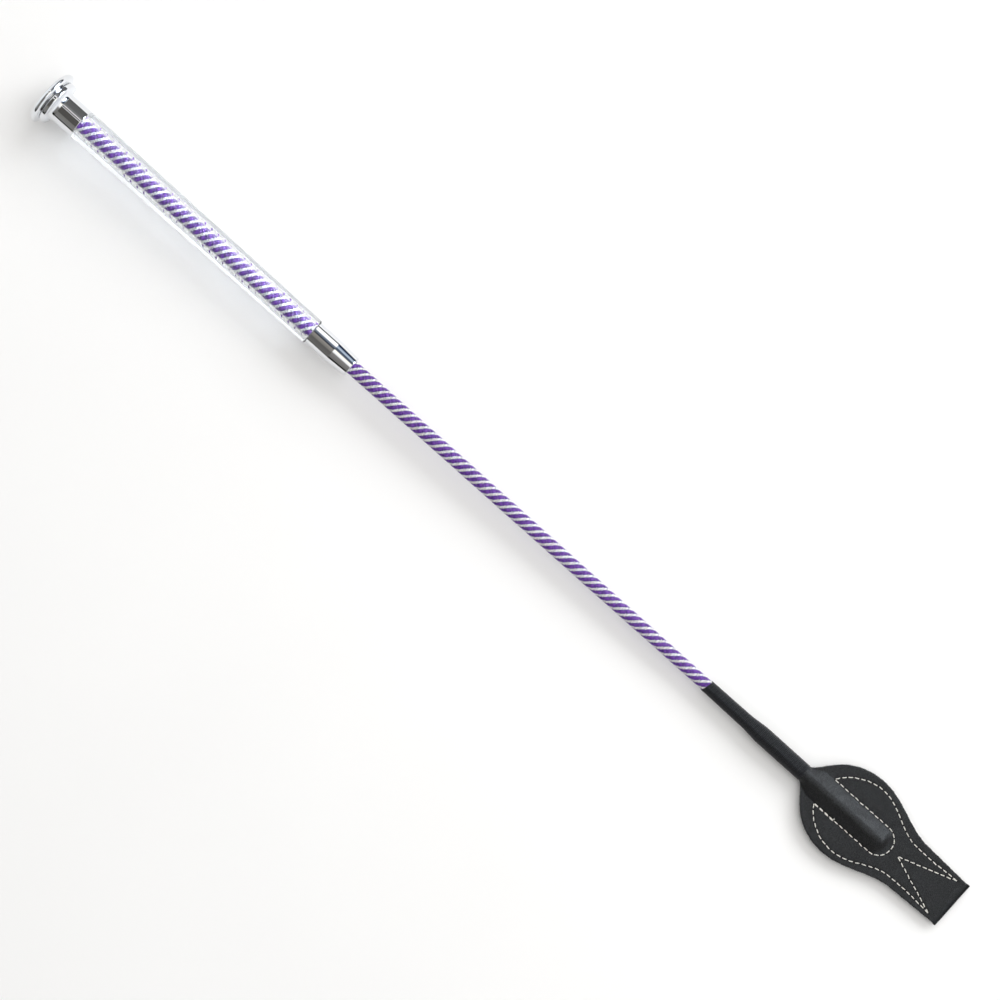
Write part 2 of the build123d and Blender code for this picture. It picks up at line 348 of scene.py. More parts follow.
def silver_material():
    """Bright metallic film wound on a core, which glints cream, green and pink."""
    mat, tree, shader = new_material("silver_thread", Roughness=0.34, Metallic=0.4)
    place = fibre_place(tree, 2600.0)
    cells = node(tree, "TexVoronoi", {"Vector": place, "Scale": 1.6}, feature="F1")
    tint = node(tree, "SeparateColor", {0: cells.outputs["Color"]}).outputs[0]
    stops = [
        (0.0, (0.30, 0.30, 0.34)), (0.14, (0.90, 0.90, 0.92)), (0.36, (1.0, 0.97, 0.88)),
        (0.55, (0.84, 0.97, 0.95)), (0.72, (0.98, 0.90, 0.90)), (0.84, (1.0, 1.0, 1.0)),
    ]
    # Painted shade: the film's colour is darkened where the thread dips below the braid's top, read from its
    # height attribute.
    sunk_painted_shade = ramp(tree, attribute(tree, "height", "Fac"), [(0.3, (0.20, 0.19, 0.22)), (0.85, 1.0)])
    film = ramp(tree, tint, stops, "CONSTANT")
    tree.links.new(mix_colour(tree, 1.0, film, sunk_painted_shade, "MULTIPLY"), shader.inputs["Base Color"])
    height = calc(tree, "ADD", ply_height(tree, 900.0), calc(tree, "MULTIPLY", tint, 0.4))
    tree.links.new(bump(tree, height, 0.10 * MM, 1.0), shader.inputs["Normal"])
    return mat


def whipping_material():
    """Blue-black twisted thread with a waxy gloss."""
    mat, tree, shader = new_material("whipping_thread", Roughness=0.36, Specular_IOR_Level=0.34)
    fibres = noise(tree, fibre_place(tree, 300.0), 5.0, 2.0)
    stops = [(0.35, (0.002, 0.002, 0.003)), (0.7, (0.008, 0.009, 0.013))]
    tree.links.new(ramp(tree, fibres, stops), shader.inputs["Base Color"])
    height = calc(tree, "ADD", ply_height(tree, 800.0), calc(tree, "MULTIPLY", fibres, 0.35))
    tree.links.new(bump(tree, height, 0.14 * MM, 1.0), shader.inputs["Normal"])
    return mat


def leather_material():
    """Black leather with a fine pebble grain, matt where it is cut. Painted shade darkens the grain's
    crevices in colour and shine, and dims the shine round the fold and along the seams.
    """
    mat, tree, shader = new_material("keeper_leather")
    place = attribute(tree, "rest")
    along = node(tree, "SeparateXYZ", {0: place}).outputs[0]
    # Band round the fold, which gets painted shade below as less shine.
    fold = map_range(tree, along, tail_high.x - 2.2 * MM, tail_high.x - 1.0 * MM)
    warp = node(tree, "TexNoise", {"Vector": place, "Scale": 900.0, "Detail": 2.0}).outputs["Color"]
    shift = node(tree, "VectorMath", {0: warp, "Scale": 0.22 * MM}, operation="SCALE").outputs[0]
    warped = node(tree, "VectorMath", {0: place, 1: shift}, operation="ADD").outputs[0]
    pebbles = node(tree, "TexVoronoi", {"Vector": warped, "Scale": 2900.0}, feature="DISTANCE_TO_EDGE")
    pebble_height = map_range(tree, pebbles.outputs["Distance"], 0.0, 0.22)
    creases = noise(tree, place, 420.0, 4.0, 0.6)
    pores = noise(tree, place, 5200.0, 2.0)
    height = calc(tree, "ADD", pebble_height, calc(tree, "MULTIPLY", creases, 1.1))
    height = calc(tree, "ADD", height, calc(tree, "MULTIPLY", pores, 0.5))
    tree.links.new(bump(tree, height, 0.07 * MM, 1.0), shader.inputs["Normal"])
    cut = attribute(tree, "cut", "Fac")
    # Painted shade: the grain's crevices get a darker colour and less shine, on top of the grain's random
    # tone.
    grain_tone_and_crevice_shade = calc(tree, "MULTIPLY", pebble_height, noise(tree, place, 1500.0, 3.0))
    grain_colour_and_crevice_shade = ramp(tree, grain_tone_and_crevice_shade, [(0.1, (0.003, 0.003, 0.0033)), (0.6, (0.0085, 0.0087, 0.0095))])
    cut_colour = ramp(tree, pores, [(0.3, (0.006, 0.006, 0.007)), (0.7, (0.028, 0.029, 0.034))])
    shine = map_range(tree, grain_tone_and_crevice_shade, 0.10, 0.60, 0.20, 0.56)
    seam = attribute(tree, "seam", "Fac")
    # Painted shade: less shine in a band round the fold and along the seam grooves.
    fold_and_seam_painted_shade = calc(tree, "ADD", calc(tree, "MULTIPLY", fold, 0.6), calc(tree, "MULTIPLY", seam, 0.55))
    shine = calc(tree, "MULTIPLY", shine, calc(tree, "SUBTRACT", 1.0, fold_and_seam_painted_shade, clamp=True))
    tree.links.new(shine, shader.inputs["Specular IOR Level"])
    tree.links.new(mix_colour(tree, cut, grain_colour_and_crevice_shade, cut_colour), shader.inputs["Base Color"])
    worn = map_range(tree, noise(tree, place, 160.0, 3.0), 0.3, 0.7, 0.30, 0.42)
    rough = calc(tree, "ADD", worn, calc(tree, "MULTIPLY", seam, 0.25))
    rough = calc(tree, "ADD", rough, calc(tree, "MULTIPLY", cut, 0.4), clamp=True)
    tree.links.new(rough, shader.inputs["Roughness"])
    return mat


def seam_material():
    """Off-white two-ply cotton thread."""
    mat, tree, shader = new_material("seam_thread", Roughness=0.65, Sheen_Weight=0.2)
    fibres = noise(tree, fibre_place(tree, 500.0), 4.0, 3.0)
    stops = [(0.25, (0.52, 0.50, 0.45)), (0.55, (0.80, 0.79, 0.74)), (0.8, (0.93, 0.92, 0.88))]
    tree.links.new(ramp(tree, fibres, stops), shader.inputs["Base Color"])
    tree.links.new(bump(tree, fibres, 0.08 * MM, 0.8), shader.inputs["Normal"])
    return mat


def plain_material(name, dark, light, roughness, scale):
    """A moulded or drawn surface with a fine mottled grain."""
    mat, tree, shader = new_material(name, Roughness=roughness)
    grain = noise(tree, object_place(tree), scale, 4.0, 0.6)
    tree.links.new(ramp(tree, grain, [(0.3, dark), (0.7, light)]), shader.inputs["Base Color"])
    tree.links.new(bump(tree, grain, 0.03 * MM, 0.5), shader.inputs["Normal"])
    return mat


chrome = chrome_material()
clear_vinyl = sleeve_material()
purple_yarn = purple_material()
silver_thread = silver_material()
whipping_thread = whipping_material()
leather = leather_material()
seam_thread = seam_material()
# braid_shade's dark purple is painted shade for the gaps between the braid's strands.
braid_shade = plain_material("braid_shade", (0.012, 0.004, 0.04), (0.04, 0.012, 0.10), 0.8, 3000.0)
whipping_shade = plain_material("whipping_shade", (0.004, 0.004, 0.006), (0.01, 0.011, 0.015), 0.8, 3000.0)
edge_fibre = plain_material("edge_fibre", (0.02, 0.02, 0.024), (0.07, 0.07, 0.08), 0.7, 4000.0)
bush_plastic = plain_material("bush_plastic", (0.03, 0.03, 0.033), (0.06, 0.06, 0.065), 0.5, 1500.0)
rod_fibreglass = plain_material("rod_fibreglass", (0.62, 0.58, 0.44), (0.85, 0.83, 0.72), 0.35, 800.0)
tip_rubber = plain_material("tip_rubber", (0.012, 0.012, 0.012), (0.03, 0.03, 0.03), 0.7, 2000.0)

hidden_nodes = {
    "core_rod": rod_fibreglass,
    "cap_bush": bush_plastic,
    "ferrule_bush": bush_plastic,
    "rod_tip_cap": tip_rubber,
}
for name, finish in hidden_nodes.items():
    piece = frame["nodes"][name]
    piece.data.materials.clear()
    piece.data.materials.append(finish)


def place_piece(piece, slot, *stands_for, body="crop"):
    """Fix a rigid piece to its CAD body and hide the CAD nodes it is shown for. The slot argument is not
    used.
    """
    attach(piece, body)
    if stands_for:
        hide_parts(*stands_for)


# ---------------------------------------------------------------- end cap

# Station of the widest circle of the cap's rim, in millimetres from the top of the dome.
RIM_STATION = 3.4


def build_cap():
    """The mushroom: a low dome, its rim, a step ring, a hollow shoulder and the collar."""
    def at(points):
        return np.asarray(points) * MM + (cap_low.x, 0)

    rim_height = 16.1
    dome_radius, dome_rise = 13.7, 1.0
    ring_height, ring_round = 12.2, 0.9
    collar_start, collar, collar_round = 11.6, 8.8, 0.4
    bore, bore_bottom = 6.3, 6.2
    radii = np.linspace(0.0, dome_radius, 24)
    dome = np.stack([dome_rise * (radii / dome_radius) ** 2, radii], -1)
    rim = arc((RIM_STATION, dome_radius), rim_height - dome_radius, 176, 90, 20)
    rim_back = bezier([(RIM_STATION, rim_height), (4.15, rim_height), (4.5, 15.6), (4.75, 14.8)], 10)
    ring_front = arc((6.3, ring_height), ring_round, 165, 90, 10)
    ring_back = arc((7.6, ring_height), ring_round, 90, 12, 10)
    collar_end = (cap_high.x - cap_low.x) / MM
    edge = collar_end - collar_round
    collar_edge = arc((edge, collar - collar_round), collar_round, 90, 0, 8)
    stretches = [
        at(np.concatenate([dome, rim, rim_back[1:]])),
        at(bezier([(4.75, 14.8), (4.9, 14.2), (5.1, 13.4), (5.3, 12.7)], 6)),
        at(np.concatenate([ring_front, ring_back])),
        at(bezier([(8.45, 12.4), (8.6, 10.4), (9.4, 8.9), (collar_start, collar)], 16)),
        at(np.concatenate([line((collar_start, collar), (edge, collar), 3)[:-1], collar_edge])),
        at(line((collar_end, collar - collar_round), (collar_end, bore))),
        at(line((collar_end, bore), (bore_bottom, bore))),
        at(line((bore_bottom, bore), (bore_bottom, 0.0))),
    ]
    cap = turned("end_cap_shell", stretches, chrome, segments=256)
    place_piece(cap, "chrome", "end_cap")


# ---------------------------------------------------------------- grip sleeve

# The soft sleeve presses on the braid this far, in millimetres, and wets the tops of its strands.
GRIP_PRESS = 0.035


def build_sleeve():
    """The clear tube: thicker at the cap, its edge rolled over at the ferrule."""
    start, end = sleeve_low.x / MM, sleeve_high.x / MM
    wide, narrow = sleeve_high.z / MM - 0.1, 7.55
    bore = braid_radius(sleeve_low.x) / MM - GRIP_PRESS
    slope = (wide - narrow) / (end - start)
    lip, corner, chamfer = 1.2, 0.15, 0.1
    stretches = [
        np.concatenate([
            arc((start + corner, wide - corner), corner, 180, 92, 6),
            line((start + 2 * corner, wide), (end - lip, narrow + slope * lip), 60),
            arc((end - lip, narrow + slope * lip - lip), lip, 88, 2, 14),
        ]),
        line((end, narrow - lip), (end, bore + corner), 6),
        arc((end - corner, bore + corner), corner, 0, -90, 4),
        line((end - corner, bore), (start + chamfer, bore), 60),
        line((start, bore + chamfer), (start, wide - corner), 6),
    ]
    sleeve = turned("grip_sleeve_tube", [s * MM for s in stretches], clear_vinyl, segments=192)
    place_piece(sleeve, "clear_sleeve", "grip_sleeve")


# ---------------------------------------------------------------- ferrule

def build_ferrule():
    """The plated shell: a straight part, then a slight cone to its nose, and a lip on the braid."""
    start, end = ferrule_low.x / MM, ferrule_high.x / MM
    wide, nose, straight = ferrule_high.z / MM, 5.95, 15.0
    bore, lip, lip_length = 5.2, 4.14, 1.2
    corner, nose_round = 0.35, 0.5
    stretches = [
        line((start, bore), (start, wide - corner)),
        arc((start + corner, wide - corner), corner, 180, 90, 8),
        line((start + corner, wide), (start + straight, wide), 4),
        line((start + straight, wide), (end - nose_round, nose), 4),
        arc((end - nose_round, nose - nose_round), nose_round, 86, 0, 8),
        line((end, nose - nose_round), (end, lip)),
        line((end, lip), (end - lip_length, lip)),
        line((end - lip_length, lip), (end - lip_length, bore)),
        line((end - lip_length, bore), (start, bore)),
    ]
    ferrule = turned("ferrule_shell", [s * MM for s in stretches], chrome, segments=224)
    place_piece(ferrule, "chrome", "ferrule")


# ---------------------------------------------------------------- braid

# Length of one quarter turn of a strand at places along the shaft, and the turn that adds up along it.
PITCH_PLACES = [sleeve_low.x, sleeve_high.x, ferrule_high.x, whip_low.x, whip_high.x]
PITCHES = [4.7 * MM, 4.7 * MM, 4.6 * MM, 5.4 * MM, 5.4 * MM]
fine_x = np.linspace(cap_low.x, whip_high.x, 6000)
fine_turn = np.concatenate([[0], np.cumsum(
    np.diff(fine_x) * 2 * np.pi / (4 * np.interp(fine_x[1:], PITCH_PLACES, PITCHES))
)])


def strand_path(start, end, direction, number, shift, depth_step, over_share, half_width, half_height):
    """Path of one braid strand, which goes over one strand and under the next as it winds round."""
    first, last = np.interp([start, end], fine_x, fine_turn)
    step = 2 * np.pi / 80
    crossings_per_turn, sharpness = 8, 5
    turn = np.arange(np.ceil(first / step), np.floor(last / step) + 1) * step
    x = np.interp(turn, fine_turn, fine_x)
    wander = 0.012 * np.sin(turn * 0.71 + number * 2.1 + direction) + 0.010 * np.sin(turn * 1.9 + number)
    psi = direction * turn + np.pi / 4 * number + shift + wander
    weave = direction * np.cos(crossings_per_turn * turn)
    height = 1 / (1 + np.exp(-sharpness * (weave - np.cos(np.pi * over_share))))
    radius = braid_radius(x) - half_height - (1 - height) * depth_step
    radius = radius - 0.03 * MM * (1 + np.sin(turn * 2.7 + number * 1.3))
    up = np.stack([np.zeros_like(x), np.sin(psi), np.cos(psi)], -1)
    centre = up * radius[:, None]
    centre[:, 0] = x
    tangent = unit(np.gradient(centre, axis=0))
    side = unit(np.cross(up, tangent))
    up = np.cross(tangent, side)
    plump = 1 + 0.06 * np.sin(turn * 5.3 + number * 1.7)
    return centre, side, up, half_width * (0.80 + 0.24 * height) * plump, half_height * (0.7 + 0.4 * height)


def build_braid(part, start, end, silver_sides):
    """Sixteen carriers, eight each way, half with purple yarn and half with pairs of silver threads."""
    depth, pair_spread = 0.62 * MM, math.radians(8.3)
    silver_size = (0.35 * MM, 0.33 * MM)
    purple_size = (1.18 * MM, 0.44 * MM)
    purple, silver = [], []
    for direction in (1, -1):
        for number in range(8):
            is_silver = (number % 2 == 0) == (direction > 0)
            over_share = 0.62 if is_silver == (direction > 0) else 0.38
            if is_silver:
                for shift in (-pair_spread, pair_spread):
                    path = strand_path(start, end, direction, number, shift, depth, over_share, *silver_size)
                    silver.append(path)
            else:
                path = strand_path(start, end, direction, number, 0, depth, over_share, *purple_size)
                purple.append(path)
    for name, paths, finish, sides in (
        ("braid_purple_" + part, purple, purple_yarn, 8),
        ("braid_silver_" + part, silver, silver_thread, silver_sides),
    ):
        vertices, faces, along, around = tubes(paths, sides)
        # The height field is 1 at the braid's top and lower where a strand dips under; the yarn materials
        # use it for painted shade.
        inside = braid_radius(vertices[:, 0]) - np.hypot(vertices[:, 1], vertices[:, 2])
        fields = {"along": along, "around": around, "height": 1 - inside / MM}
        place_piece(make_mesh(name, vertices, faces, finish, fields), "braid_yarn")


def build_braid_base():
    """The dark inside of the braid, seen between its strands. Its dark colour is painted shade."""
    start, end = braid_x[0], braid_x[-1]
    places = np.linspace(start, end, 40)
    outline = np.stack([places, braid_radius(places) - 1.28 * MM], -1)
    base = turned("braid_base", [outline], braid_shade, segments=64)
    place_piece(base, "braid_yarn", "braid_cover")


# ---------------------------------------------------------------- whipping

def build_whipping():
    """Six threads wound side by side, from a slanted first turn to the keeper's neck."""
    lead, starts, thread = 4.2 * MM, 6, 0.36 * MM
    step = 2 * np.pi / 46
    start, end = whip_low.x + 0.3 * MM, whip_high.x - 0.1 * MM
    paths = []
    for number in range(starts):
        psi = np.arange(0, (end - start) / lead * 2 * np.pi + 2 * np.pi, step)
        x = start - lead * 0.5 + lead * psi / (2 * np.pi)
        psi = psi + 2 * np.pi * number / starts
        slanted_edge = start + 0.9 * MM * (1 + np.sin(psi))
        outside = np.flatnonzero(x < slanted_edge)
        first = outside[-1] + 1 if len(outside) else 0
        keep = slice(first, int(np.searchsorted(x, end - thread)))
        x, psi = x[keep], psi[keep]
        radius = np.interp(x, whip_x, whip_r) - 0.02 * MM - thread
        radius = radius + 0.025 * MM * np.sin(psi * 0.37 + number * 1.9) - 0.025 * MM
        up = np.stack([np.zeros_like(x), np.sin(psi), np.cos(psi)], -1)
        centre = up * radius[:, None]
        centre[:, 0] = x + 0.04 * MM * np.sin(psi * 0.61 + number * 2.3)
        tangent = unit(np.gradient(centre, axis=0))
        side = unit(np.cross(up, tangent))
        size = np.full(len(x), thread) * (1 + 0.05 * np.sin(psi * 3.1 + number))
        paths.append((centre, side, np.cross(tangent, side), size * 0.99, size))
    vertices, faces, along, around = tubes(paths, 8)
    fields = {"along": along, "around": around}
    threads = make_mesh("whipping_threads", vertices, faces, whipping_thread, fields)
    place_piece(threads, "whipping_thread", "whipping")
    places = np.linspace(whip_low.x + 2 * MM, whip_high.x, 40)
    outline = np.stack([places, np.interp(places, whip_x, whip_r) - 0.5 * MM], -1)
    base = turned("whipping_base", [outline], whipping_shade, segments=64)
    place_piece(base, "whipping_thread")


# ---------------------------------------------------------------- keeper: plan and surface, in millimetres

LEATHER = leather_half / MM
KEEPER_END = keeper_length / MM
HALF_GAP = 0.03
TONGUE = 31.0
SHAFT_HALF = 3.34
RIDGE_END = 54.0

# Places in plan on the +Y half: x from the keeper's neck, y from the shaft's axis.
NECK = (0.0, 5.3)
SHOULDER = (8.8, 13.8)
WIDEST = (34.6, 25.2)
WAIST = (73.0, 15.1)
END_CORNER = (KEEPER_END, 13.7)
POCKET_SEAM = 8.4
POCKET_START = (14.0, POCKET_SEAM)
POCKET_END = (52.8, POCKET_SEAM)
SEAM_WIDEST = (37.2, 21.3)
SEAM_WAIST = (68.0, 11.0)
SEAM_CORNER = (99.3, 11.6)
SEAM_CROSSING = (66.5, 0.0)

outline_plan = np.concatenate([
    bezier([NECK, (2.4, 5.4), (4.0, 8.2), SHOULDER], 40),
    bezier([SHOULDER, (15.2, 21.3), (24.5, 25.2), WIDEST], 60)[1:],
    bezier([WIDEST, (48.5, 25.2), (59.5, 16.7), WAIST], 60)[1:],
    line(WAIST, END_CORNER, 20)[1:],
])

upper_seams = [
    bezier([POCKET_START, (17.5, 14.6), (26.5, 21.3), SEAM_WIDEST], 80),
    bezier([SEAM_WIDEST, (49.5, 21.3), (55.5, 13.2), SEAM_WAIST], 80),
    bezier([SEAM_WAIST, (78.0, 10.1), (88.0, 10.9), SEAM_CORNER], 80),
    line(SEAM_CORNER, SEAM_CROSSING, 80),
    line(POCKET_START, POCKET_END, 80),
    arc((POCKET_END[0], 0.0), POCKET_SEAM, 90, 0, 40),
]
seams = upper_seams + [seam * (1, -1) for seam in upper_seams]
seam_points = np.concatenate(seams)


def half_width(x):
    ears = 0.35 * smoothstep(x, KEEPER_END - 2.2, KEEPER_END - 0.8)
    uneven = 0.05 * np.sin(2.3 * x) + 0.04 * np.sin(5.1 * x + 1.0) + 0.06 * np.sin(0.9 * x + 2.0)
    return np.interp(x, outline_plan[:, 0], outline_plan[:, 1]) + ears + uneven


def layer_height(x, y, thickness):
    """Height of a leather surface over the middle plane: flat, and raised over the shaft's end."""
    crest = SHAFT_HALF + thickness
    foot = 5.0 + 3.2 * smoothstep(x, 0.0, 9.0)
    span = np.hypot(foot, thickness)
    touch = np.arctan2(thickness, foot) + np.arccos(np.clip(crest / span, -1, 1))
    touch_y, touch_z = crest * np.cos(touch), crest * np.sin(touch)
    away = np.abs(y)
    dome = np.sqrt(np.clip(crest**2 - y**2, 0, None))
    slope = touch_z + (away - touch_y) * (thickness - touch_z) / (foot - touch_y)
    height = np.where(away < touch_y, dome, np.where(away < foot, slope, thickness))
    drop = 1 - smoothstep(x + 0.25 * (away / 4) ** 2, RIDGE_END, RIDGE_END + 4.8)
    return thickness + (height - thickness) * drop


def seam_distance(x, y):
    """Distance from each place in plan to the nearest seam."""
    points = np.stack([np.ravel(x), np.ravel(y)], -1)
    nearest = np.concatenate([
        np.sqrt(((chunk[:, None] - seam_points[None]) ** 2).sum(-1).min(1))
        for chunk in np.array_split(points, 60)
    ])
    return nearest.reshape(np.shape(x))


def outer_height(x, y):
    """Height of the outer face: seam grooves, creases by the lower corner, slow waves, a dip at the fold."""
    groove_depth, groove_half = 0.22, 0.55
    height = layer_height(x, y, LEATHER)
    height = height - groove_depth * np.exp(-((seam_distance(x, y) / groove_half) ** 2))
    creases = np.exp(-(((x - 95.5) / 3.2) ** 2) - ((y + 7.6) / 2.0) ** 2)
    height = height + 0.10 * creases * np.sin(1.9 * (x * 0.55 + y))
    height = height + 0.05 * np.sin(x * 0.21 + 1.3) * np.sin(y * 0.27 + 0.4) - 0.05
    height = height - 0.16 * np.exp(-(((x - KEEPER_END + 3.0) / 0.9) ** 2))
    height = height + 0.10 * smoothstep(x, KEEPER_END - 2.6, KEEPER_END - 1.4)
    return height


def keeper_section(x, columns, inner):
    """Rows of (y, height) across the keeper at stations x, from its +Y edge to its -Y edge."""
    edge_round, edge_drop = 0.35, 0.30
    wrap = math.radians(82)
    share = np.linspace(1, -1, columns)[None, :]
    station = x[:, None] + 0 * share
    width = half_width(x)[:, None]
    y = width * share
    base = HALF_GAP if inner else LEATHER
    if inner:
        height = layer_height(station, y, base)
    else:
        height = outer_height(station, y)
        edge = np.clip((np.abs(y) - (width - edge_round)) / edge_round, 0, 1)
        height = height - edge_drop * (1 - np.sqrt(1 - np.minimum(edge, 0.999) ** 2))
    shaft = braid_radius(x * MM + keeper_start)[:, None] / MM + base
    angle = share * wrap
    flat = smoothstep(station, -0.6, 2.6)
    return y * flat + shaft * np.sin(angle) * (1 - flat), height * flat + shaft * np.cos(angle) * (1 - flat)


def build_keeper():
    """The whole blank in one piece: front tongue and leaf, round the fold, back leaf and back tongue."""
    columns, inner_columns, fold_rows = 108, 26, 13
    fold_x = KEEPER_END - LEATHER
    row_step, fold_power = 0.47, 3.2
    front = np.concatenate([np.linspace(-TONGUE, -1.0, 12), np.arange(-0.6, fold_x, row_step)])
    stations = np.concatenate([front, np.full(fold_rows, fold_x), front[::-1]])
    face_up, face_down = np.zeros(len(front)), np.full(len(front), np.pi)
    lean = np.concatenate([face_up, np.linspace(0, np.pi, fold_rows), face_down])
    out = np.stack([np.sin(lean), np.zeros(len(lean)), np.cos(lean)], -1)
    square = (np.abs(out[:, 0]) ** fold_power + np.abs(out[:, 2]) ** fold_power) ** (-1 / fold_power)
    y, height = keeper_section(stations, columns, inner=False)
    y_in, height_in = keeper_section(stations, inner_columns, inner=True)
    height = height * square[:, None]
    middle_height = (height[:, [-1, 0]] + height_in[:, [-1, 0]]) / 2
    bulge = 0.05
    y_all = np.concatenate([y, y[:, [-1]] - bulge, y_in[:, ::-1], y[:, [0]] + bulge], 1)
    z_all = np.concatenate([height, middle_height[:, [0]], height_in[:, ::-1], middle_height[:, [1]]], 1)
    vertices = out[:, None, :] * z_all[..., None]
    vertices[..., 0] += stations[:, None]
    vertices[..., 1] += y_all
    cut = np.zeros(y_all.shape)
    cut[:, [0, columns - 1]] = 0.6
    cut[:, [columns, -1]] = 1.0
    # Nearness to the seams: the leather uses it for painted shade in the grooves (less shine) and for
    # roughness.
    near_seam = np.exp(-((seam_distance(stations[:, None] + 0 * y, y) / 0.6) ** 2))
    seam = np.concatenate([near_seam, np.zeros((len(stations), inner_columns + 2))], 1)
    vertices = vertices.reshape(-1, 3) * MM + (keeper_start, 0, 0)
    faces = [grid_faces(len(stations), y_all.shape[1])]
    fields = {"rest": vertices, "cut": cut.ravel(), "seam": seam.ravel()}
    keeper = make_mesh("keeper_leather_blank", vertices, faces, leather, fields)
    bend_with_keeper(keeper, "keeper_leather", "keeper_front_leaf", "keeper_back_leaf", "keeper_tail")


def bend_with_keeper(piece, slot, *stands_for):
    """Bake the piece's transform into its mesh and hide the CAD nodes it stands for."""
    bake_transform(piece)
    if stands_for:
        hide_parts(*stands_for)


# ---------------------------------------------------------------- stitching

STITCH_PITCH = 3.6
STITCH_LENGTH = 2.5
PLY_RADIUS = 0.175
PLY_OFFSET = (0.13, 0.10)


def seam_places(seam):
    """Middle and direction in plan of each stitch along a seam."""
    length = np.concatenate([[0], np.cumsum(np.linalg.norm(np.diff(seam, axis=0), axis=1))])
    count = round(length[-1] / STITCH_PITCH)
    places = (np.arange(count) + 0.5) * length[-1] / count
    middle = np.stack([np.interp(places, length, seam[:, k]) for k in (0, 1)], -1)
    ahead = np.stack([np.interp(places + 0.3, length, seam[:, k]) for k in (0, 1)], -1)
    behind = np.stack([np.interp(places - 0.3, length, seam[:, k]) for k in (0, 1)], -1)
    return middle, unit(ahead - behind)


def stitch_plies(middle, heading, length, face):
    """Two plies of one stitch, which rises from one needle hole and dives into the next."""
    share = np.linspace(-1, 1, 13)
    across = np.array([-heading[1], heading[0]])
    bow = rng.normal(0, 0.05)
    plan = middle + heading * (share * length / 2)[:, None] + across * (bow * (1 - share**2))[:, None]
    surface = layer_height(plan[:, 0], plan[:, 1], LEATHER)
    rise = -0.66 + 0.80 * (1 - np.abs(share) ** 5)
    centre = np.stack([plan[:, 0], plan[:, 1], surface + rise - 0.02], -1)
    turning = share * np.pi * 1.15 + rng.uniform(0, np.pi)
    plies = []
    for ply in (0, np.pi):
        offset = across[None] * (PLY_OFFSET[0] * np.cos(turning + ply))[:, None]
        path = centre.copy()
        path[:, :2] += offset
        path[:, 2] += PLY_OFFSET[1] * np.sin(turning + ply)
        tangent = unit(np.gradient(path, axis=0))
        side = unit(np.cross(tangent, (0, 0, 1.0)) + 1e-6)
        radius = np.full(len(share), PLY_RADIUS) * (1 - 0.25 * np.abs(share) ** 4)
        path = path * (1, 1, face) * MM + (keeper_start, 0, 0)
        tangent = tangent * (1, 1, face)
        side = side * (1, 1, face)
        up = np.cross(tangent, side)
        plies.append((path, side, up, radius * MM, radius * MM))
    return plies


def build_stitches(name, face, *stands_for):
    """All the stitches of one face. The lower pocket line starts with a few doubled stitches."""
    plies = []
    for seam in seams:
        for middle, heading in zip(*seam_places(seam)):
            turn = rng.normal(0, 0.07)
            heading = np.array([heading[0] - turn * heading[1], heading[1] + turn * heading[0]])
            middle = middle + rng.normal(0, 0.06, 2)
            plies += stitch_plies(middle, unit(heading), STITCH_LENGTH + rng.normal(0, 0.08), face)
    for number in range(4):
        middle = np.array([16.0 + STITCH_PITCH * number, -POCKET_SEAM - 0.35])
        plies += stitch_plies(middle, np.array([1.0, 0.03]), STITCH_LENGTH, face)
    vertices, faces, along, around = tubes(plies, 7)
    piece = make_mesh(name, vertices, faces, seam_thread, {"along": along, "around": around})
    bend_with_keeper(piece, "seam_thread", *stands_for)


def build_loose_end():
    """The cut end of the seam thread, standing up beside the doubled stitches."""
    height = LEATHER + np.array([-0.1, 0.25, 0.5, 0.68, 0.78, 0.84, 0.86, 0.84, 0.80])
    count = len(height)
    plan = bezier([(27.2, -8.5), (27.7, -8.2), (27.9, -7.8), (27.5, -7.3)], count)
    paths = []
    for turn in range(3):
        fan = np.array([0.3 * math.cos(turn * 2.1), 0.3 * math.sin(turn * 2.1), 0.12])
        path = np.column_stack([plan, height]) + np.linspace(0, 1, count)[:, None] * fan
        tangent = unit(np.gradient(path, axis=0))
        side = unit(np.cross((0, 0, 1.0), tangent))
        size = np.linspace(0.13, 0.05, count) * MM
        paths.append((path * MM + (keeper_start, 0, 0), -side, np.cross(tangent, -side), size, size))
    vertices, faces, along, around = tubes(paths, 6)
    piece = make_mesh("seam_loose_end", vertices, faces, seam_thread, {"along": along, "around": around})
    place_piece(piece, "seam_thread")


def build_fuzz(name, count, on_tail):
    """Short raised fibres along the keeper's cut edges."""
    flex = (flex_x - keeper_start) / MM
    low, high = (flex + 4.5, KEEPER_END - 1.5) if on_tail else (1.0, flex - 4.5)
    paths = []
    for _ in range(count):
        x = rng.uniform(low, high)
        sign = rng.choice([-1, 1])
        edge = half_width(x)
        slope = (half_width(x + 0.1) - edge) / 0.1
        outward = unit(np.array([-slope, 1.0])) * (1, sign)
        heading = unit(np.append(outward + rng.normal(0, 0.5, 2), rng.normal(0, 0.5)))
        face = rng.choice([-1, 1])
        start = np.array([x, sign * (edge - 0.05), face * rng.uniform(0.2, 1.15)])
        length = rng.uniform(0.15, 0.5) * (1 + (rng.uniform() < 0.12))
        curl = rng.normal(0, 0.35, 3) * length
        share = np.linspace(0, 1, 5)[:, None]
        path = start + heading * length * share + curl * share**2
        tangent = unit(np.gradient(path, axis=0))
        side = unit(np.cross(tangent, (0.3, 0.2, 0.9)))
        size = np.linspace(0.035, 0.012, 5) * MM
        paths.append((path * MM + (keeper_start, 0, 0), side, np.cross(tangent, side), size, size))
    vertices, faces = tubes(paths, 3)[:2]
    piece = make_mesh(name, vertices, faces, edge_fibre)
    place_piece(piece, "keeper_leather", body="keeper_tail" if on_tail else "crop")


